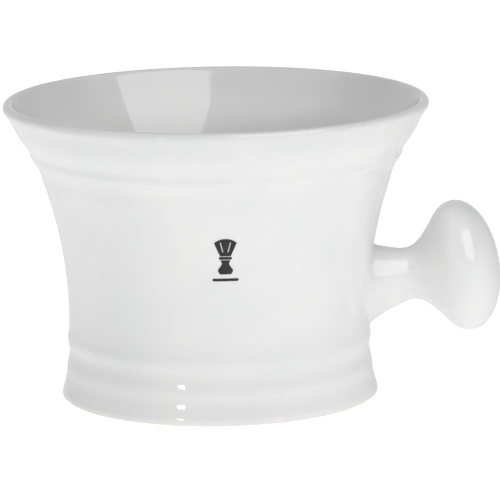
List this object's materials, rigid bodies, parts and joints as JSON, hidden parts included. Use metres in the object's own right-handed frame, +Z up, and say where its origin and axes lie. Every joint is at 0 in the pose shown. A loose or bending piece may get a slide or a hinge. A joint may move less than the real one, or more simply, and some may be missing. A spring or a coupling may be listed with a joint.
{
  "type": "shaving mug",
  "caption": "Flared porcelain shaving mug with a banded foot, ridges under its rim and a short hollow knob as its handle.",
  "frame": {"origin": "the cup's axis in the plane of the foot ring that the mug stands on", "axes": "+Z up along the cup's axis, +X towards the knob, -Y towards the printed mark"},
  "size_m": [0.1401, 0.12, 0.0847],
  "materials": {
    "fired_porcelain": "fired, unglazed, smooth and matt",
    "luting_slip": "fired slip, matt",
    "white_glaze": "clear glossy glaze over white porcelain",
    "inner_glaze": "poured clear glossy glaze over white porcelain",
    "decal_ink": "black fired-on ceramic ink, satin"
  },
  "bodies": {
    "root": {"mug_body": "fired_porcelain", "knob_handle": "fired_porcelain", "joint_slip": "luting_slip", "outside_glaze": "white_glaze", "inside_glaze": "inner_glaze", "recess_glaze": "white_glaze", "knob_glaze": "white_glaze", "front_decal": "decal_ink"}
  },
  "joints": []
}
